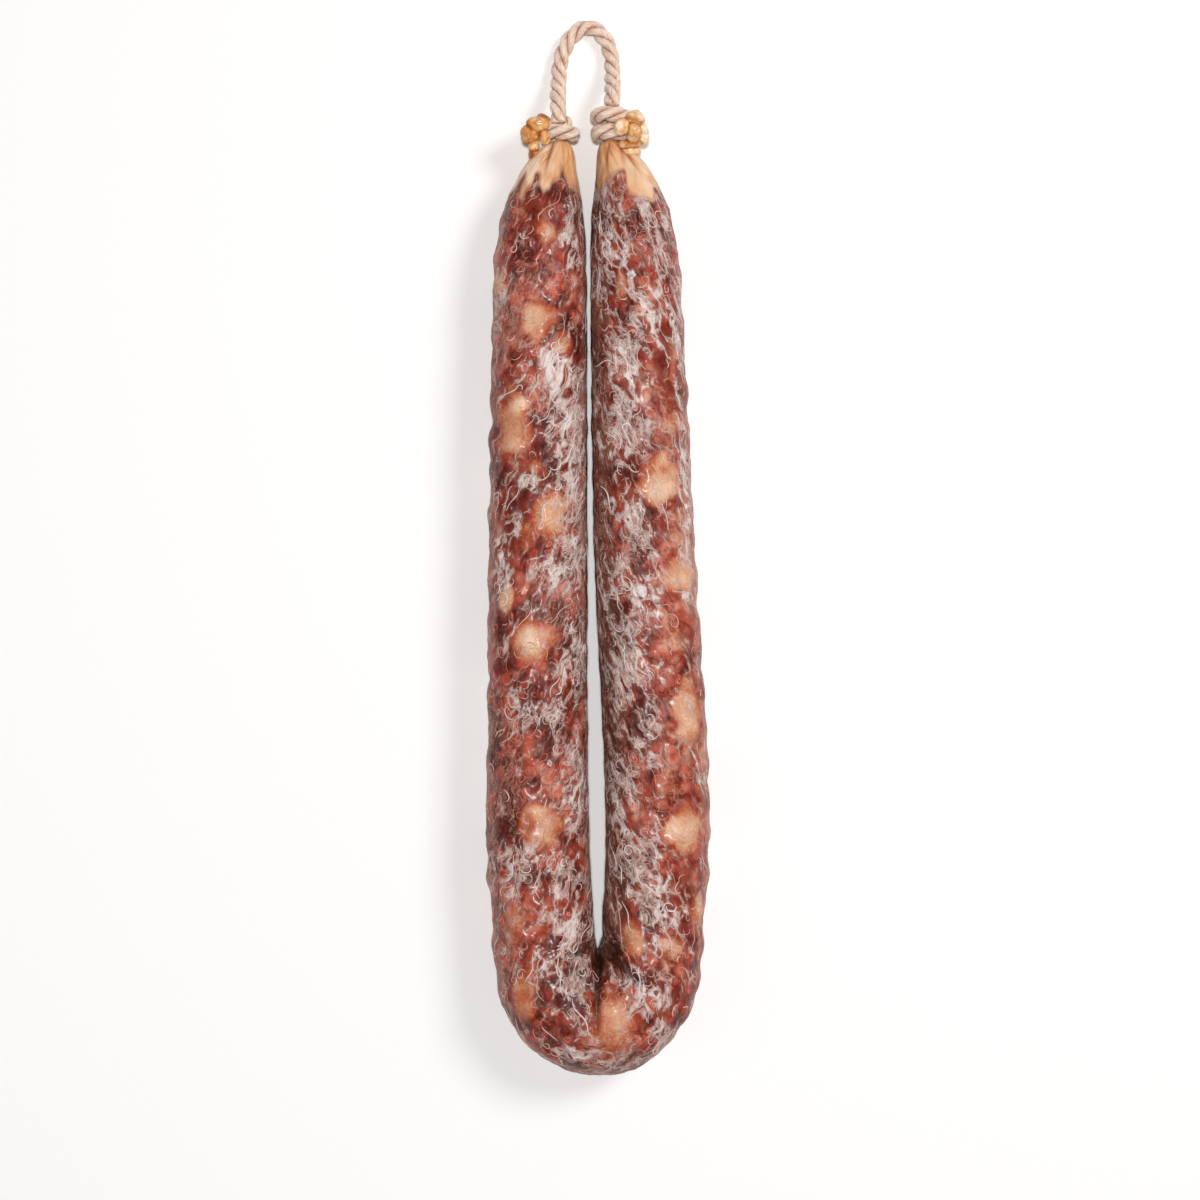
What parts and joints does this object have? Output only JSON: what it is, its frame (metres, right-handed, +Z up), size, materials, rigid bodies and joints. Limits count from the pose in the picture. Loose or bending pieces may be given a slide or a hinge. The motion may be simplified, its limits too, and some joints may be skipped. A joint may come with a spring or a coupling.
{
  "type": "cured sausage",
  "caption": "Dry cured sausage bent into a long horseshoe, its necks gathered, bound and knotted, with a short twine loop joining them for hanging.",
  "frame": {"origin": "centre of the underside of the sausage with its knots and wraps, without the loop", "axes": "+Z up, out of the show side; +Y along the legs, from the bend to the loop; +X to the right seen from above, so the double wrap is on the +X leg"},
  "size_m": [0.0623, 0.295, 0.0293],
  "materials": {
    "casing": "dried natural casing over coarse red meat and fat, satin, with patches of dry white bloom",
    "twine": "matt three-strand cotton twine"
  },
  "bodies": {
    "root": {"sausage": "casing", "twine_loop": "twine", "twine_wrap_left": "twine", "twine_wrap_right_lower": "twine", "twine_wrap_right_upper": "twine"}
  },
  "joints": []
}
